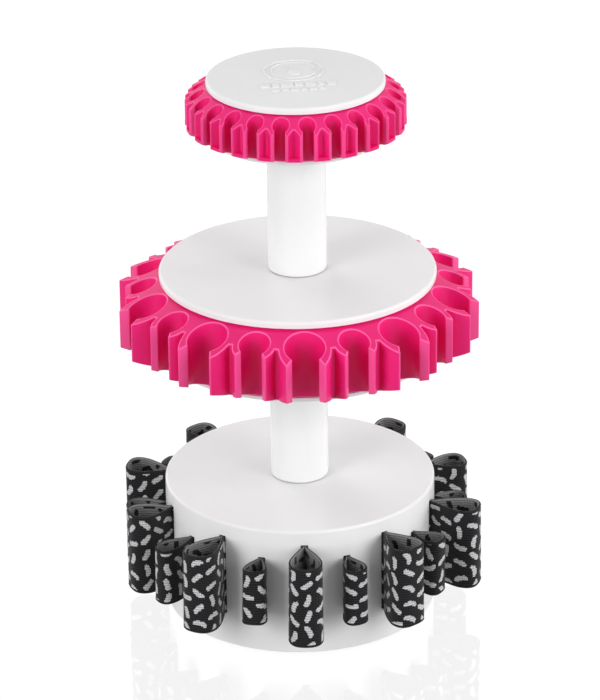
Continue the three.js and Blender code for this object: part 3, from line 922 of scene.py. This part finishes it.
def base_plate():
    """The cover under the drum, with a groove for the ring and pockets for the screws."""
    groove = limits("foot_ring")[1] + GAP
    inside, outside = FOOT_INSIDE - GAP, FOOT_RADIUS + GAP
    made = lathe("bottom_cover", [
        (0, PLATE_LOW, 0), (inside, PLATE_LOW, 0.3), (inside, groove, 0), (outside, groove, 0),
        (outside, PLATE_LOW, 0.3), (PLATE_RADIUS, PLATE_LOW, 0.5), (PLATE_RADIUS, PLATE_HIGH, 0.3),
        (0, PLATE_HIGH, 0),
    ], [WHITE])
    holes = []
    for x, y in screw_places(BASE, BASE_SCREWS):
        top = PLATE_LOW + HEAD_SEAT["base"] + GAP
        holes.append(rod(SCREW["head"] + GAP, PLATE_LOW - 1, top, (x, y)))
    cut(made, holes)
    return settle(made, "base", "white_plastic", "base_plate")


def base_screws():
    """The four screws that hold the base plate."""
    for number, (x, y) in enumerate(screw_places(BASE, BASE_SCREWS)):
        node = f"base_screw_{number + 1:02d}"
        pan_screw(node + "_steel", x, y, PLATE_LOW + HEAD_SEAT["base"], "base", node)


def foot_ring():
    """The non-slip ring that the tower stands on."""
    made = lathe("non_slip_ring", [
        (FOOT_INSIDE, FOOT_LOW, 0.5), (FOOT_RADIUS, FOOT_LOW, 0.5),
        (FOOT_RADIUS, FOOT_HIGH, 0.1), (FOOT_INSIDE, FOOT_HIGH, 0.1),
    ], [RUBBER])
    return settle(made, "base", "foot_rubber", "foot_ring")


# ---- Elastic loops ----
def evenly(path, count):
    """A polyline's points, spaced evenly along it, and its length."""
    steps = np.linalg.norm(np.diff(path, axis=0), axis=1)
    run = np.concatenate([[0], np.cumsum(steps)])
    wanted = np.linspace(0, run[-1], count)
    return np.stack([np.interp(wanted, run, path[:, k]) for k in (0, 1)], 1), run[-1]


def loop_path(loop, reach, half):
    """The middle of a folded strip, seen from above: (across, out from the wall)."""
    side = ELASTIC / 2 + GAP / 2
    behind = (TAIL["inner"] + TAIL["outer"]) / 2
    half, front = half - ELASTIC / 2, reach - ELASTIC / 2
    flank, shoulder, nose, width = (LOOP_CURVE[k] for k in ("flank", "shoulder", "nose", "width"))
    tail = rounded([(TAIL["half"], behind, 0), (side, behind, TAIL["bend"]),
                    (side, loop["neck"], 0)])
    rise = bend((side, loop["neck"]), (half, flank * reach), (half, shoulder * reach), 24)
    corners = [np.array(p) for p in ((half, shoulder * reach), (half, nose * reach),
                                     (width * half, front), (0, front))]
    t = np.linspace(0, 1, 30)[:, None]
    shares = ((1 - t) ** 3, 3 * t * (1 - t) ** 2, 3 * t ** 2 * (1 - t), t ** 3)
    round_nose = sum(share * corner for share, corner in zip(shares, corners))
    right = np.vstack([tail[:-1], rise[:-1], round_nose])
    return np.vstack([right, right[-2::-1] * [-1, 1]])


def reach_of(node, angle):
    """How far a loop's CAD solid stands out from the wall."""
    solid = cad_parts[node]
    spots = np.array([(solid.matrix_world @ v.co)[:2] for v in solid.data.vertices]) / MM
    return (spots @ facing(angle, 0, 1)).max() - BASE_RADIUS


def strip_faces(along, across):
    """Quads over both skins of a strip and its four edges, and each one's material."""
    skin = along * across
    grid = np.arange(skin).reshape(along, across)
    a, b, c, d = grid[:-1, :-1], grid[1:, :-1], grid[1:, 1:], grid[:-1, 1:]
    outside = np.stack([a, b, c, d], -1).reshape(-1, 4)
    inside = outside[:, ::-1] + skin
    rims = []
    for line in (grid[:, 0], grid[::-1, -1], grid[-1, :], grid[0, ::-1]):
        rims.append(np.stack([line[:-1], line[:-1] + skin, line[1:] + skin, line[1:]], -1))
    faces = np.vstack([outside, inside, *rims])
    kinds = np.zeros(len(faces), int)
    kinds[len(outside):2 * len(outside)] = 1
    return faces, kinds


def strip_thickness(inboard, rib):
    """Half a strip's thickness: ribbed, fuller at its hems and thin at its edges."""
    thick = ELASTIC / 2 - RIB_RELIEF + RIB_RELIEF * rib
    thick = thick + HEM["extra"] * np.clip(1 - inboard / HEM["width"], 0, 1)
    softness = np.sqrt(np.clip(inboard / HEM["soft"], 0, 1))
    return thick * (HEM["thin"] + (1 - HEM["thin"]) * softness)


def strip_piece(name, points, faces, kinds, strip, inboard):
    """A strip's mesh object, with its own coordinates and the distance from its edges."""
    mesh = bpy.data.meshes.new(name)
    mesh.from_pydata((points * MM).tolist(), [], faces.tolist())
    mesh.materials.append(FACE_CLOTH)
    mesh.materials.append(BACK_CLOTH)
    mesh.polygons.foreach_set("material_index", kinds)
    layer = mesh.uv_layers.new(name="strip")
    layer.data.foreach_set("uv", strip[faces.ravel()].ravel())
    depth = mesh.attributes.new("inboard", "FLOAT", "POINT")
    depth.data.foreach_set("value", inboard.astype(np.float32))
    made = bpy.data.objects.new(name, mesh)
    bpy.context.scene.collection.objects.link(made)
    mesh.shade_smooth()
    return made


def elastic_loop(loop, index, chance):
    """A loop of ribbed elastic: a flat strip folded round, its ends held behind the wall."""
    node = f"{loop['stem']}_loop_{index + 1:02d}"
    low, high, _ = limits(node)
    tall = high - low
    angle = loop["first"] + 360 * index / PAIRS
    along, ribs = loop["steps"], round(tall / RIB_PITCH)
    across = RIB_STEPS * ribs + 1
    path, length = evenly(loop_path(loop, reach_of(node, angle), loop["half"]), along)
    ahead = np.gradient(path, axis=0)
    ahead /= np.linalg.norm(ahead, axis=1)[:, None]
    normal = np.stack([ahead[:, 1], -ahead[:, 0]], 1)
    height = np.linspace(0, 1, across)
    inboard = np.minimum(height, 1 - height) * tall

    taper, lean, sway, lift = (chance.uniform(*ends) for ends in SETTLED.values())
    wave = chance.uniform(0, math.tau)

    thick = strip_thickness(inboard, 0.5 - 0.5 * np.cos(math.tau * ribs * height))
    waves = RIPPLE["waves"] * math.tau * np.linspace(0, 1, along)
    ripple = RIPPLE["height"] * np.sin(wave + waves)
    free = np.clip(path[:, 1] / path[:, 1].max(), 0, 1)  # 0 in the wall and 1 at the front
    skins = []
    for side in (1, -1):
        flat = path[:, None, :] + normal[:, None, :] * (side * thick)[None, :, None]
        x = flat[..., 0] * (1 - taper * height * free[:, None])
        x = x + sway * (height - 0.5) * free[:, None]
        y = flat[..., 1] + lean * (height - 0.5) * free[:, None]
        z = low + height * tall + ((ripple + lift) * free)[:, None]
        skins.append(np.stack([x, -(BASE_RADIUS + y), z], -1).reshape(-1, 3))
    placed = turned_about(np.vstack(skins), angle)
    faces, kinds = strip_faces(along, across)
    start = REEL["loop"] * index + REEL["rib"] * ribs
    run = np.repeat(np.linspace(0, length, along), across) + start
    strip = np.tile(np.stack([run, np.tile(height * tall, along)], 1), (2, 1)) / STRIP_UNIT
    made = strip_piece(node + "_strip", placed, faces, kinds, strip, np.tile(inboard, 2 * along))
    settle(made, "base", "woven_elastic", node)
    return made


# ---- Studio ----
def camera():
    """The camera, turned by its heading, its downward tilt and its roll."""
    data = bpy.data.cameras.new("camera")
    data.lens = CAMERA["lens"]
    data.sensor_width = 36
    data.clip_end = 50
    made = bpy.data.objects.new("camera", data)
    bpy.context.scene.collection.objects.link(made)
    stand = math.radians(CAMERA["azimuth"])
    made.location = (CAMERA["distance"] * math.sin(stand),
                     -CAMERA["distance"] * math.cos(stand), CAMERA["height"])
    aim = Euler((math.radians(90 - CAMERA["down"]), 0, math.radians(CAMERA["heading"])))
    turn = aim.to_matrix() @ Matrix.Rotation(math.radians(CAMERA["roll"]), 3, "Z")
    made.rotation_euler = turn.to_euler()
    bpy.context.scene.camera = made


FLOOR = {"side": 9000, "front": 6000, "back": 12000, "glow": 0.86}


def floor():
    """A white acrylic table top, lit from below, that mirrors what stands on it."""
    material, _, shader, _ = surface("floor", Roughness=0.05, IOR=2.6)
    shader.inputs["Base Color"].default_value = (0.05, 0.05, 0.05, 1)
    shader.inputs["Emission Color"].default_value = (1, 1, 1, 1)
    shader.inputs["Emission Strength"].default_value = FLOOR["glow"]
    side, front, back = FLOOR["side"], -FLOOR["front"], FLOOR["back"]
    corners = [(-side, front, 0), (side, front, 0), (side, back, 0), (-side, back, 0)]
    made = piece("floor", corners, [(0, 1, 2, 3)], [material])
    made.visible_diffuse = False
    made.visible_glossy = False


def softbox(name, place, wide, tall, radiance):
    """A rectangular light that faces the middle of the object."""
    data = bpy.data.lights.new(name, "AREA")
    data.shape = "RECTANGLE"
    data.size = wide
    data.size_y = tall
    data.energy = radiance * math.pi * wide * tall
    made = bpy.data.objects.new(name, data)
    bpy.context.scene.collection.objects.link(made)
    made.visible_glossy = False  # the plates mirror the tent, and no lamp glares in them
    made.location = place
    aim = made.location - Vector((0, 0, MIDDLE_HEIGHT))
    made.rotation_euler = aim.to_track_quat("Z", "Y").to_euler()


TENT = {"front": 0.32, "back": 0.66}  # how bright the tent round the table is
MIDDLE_HEIGHT = 0.15
SOFTBOXES = (
    # name, place, width, height, radiance
    ("right", (1.6, 0.1, 0.5), 1.0, 1.2, 2.9),
    ("front_left", (-1.25, -1.15, 0.66), 0.8, 1.2, 6.0),
    ("front_right", (1.25, -1.15, 0.66), 0.8, 1.2, 4.9),
    ("overhead", (0.0, 0.1, 1.5), 1.2, 1.2, 0.35),
    ("back_left", (-0.75, 1.4, 0.5), 0.8, 0.8, 6.4),
)


def tent():
    """A white light tent that is brighter behind the object than in front of it."""
    world = bpy.data.worlds.new("tent")
    world.use_nodes = True
    tree = world.node_tree
    way = tree.nodes.new("ShaderNodeTexCoord").outputs["Generated"]
    split = tree.nodes.new("ShaderNodeSeparateXYZ")
    tree.links.new(way, split.inputs[0])
    back = make(tree, "ShaderNodeMapRange")
    tree.links.new(split.outputs["Y"], back.inputs["Value"])
    back.inputs["From Min"].default_value = -1
    back.inputs["From Max"].default_value = 1
    back.inputs["To Min"].default_value = TENT["front"]
    back.inputs["To Max"].default_value = TENT["back"]
    tree.links.new(back.outputs[0], tree.nodes["Background"].inputs["Strength"])
    tree.nodes["Background"].inputs["Color"].default_value = (1, 1, 1, 1)
    bpy.context.scene.world = world


def studio():
    """The tent, the softboxes and the table top."""
    bpy.context.scene.view_settings.view_transform = "Standard"
    tent()
    for box in SOFTBOXES:
        softbox(*box)
    floor()


# ---- The tower ----
camera()
studio()
drum()
base_plate()
foot_ring()
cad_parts["loop_retainer"].data.materials.clear()
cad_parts["loop_retainer"].data.materials.append(WHITE)
base_screws()
dice = random.Random(7)
for number in range(PAIRS):
    elastic_loop(WIDE_LOOP, number, dice)
    elastic_loop(NARROW_LOOP, number, dice)
post("lower_post")
post("upper_post")
for tier, has_socket in ((MIDDLE, True), (TOP, False)):
    lower_plate(tier)
    upper_plate(tier, has_socket)
    tier_screws(tier)
middle_ring()
top_ring()
emblem()
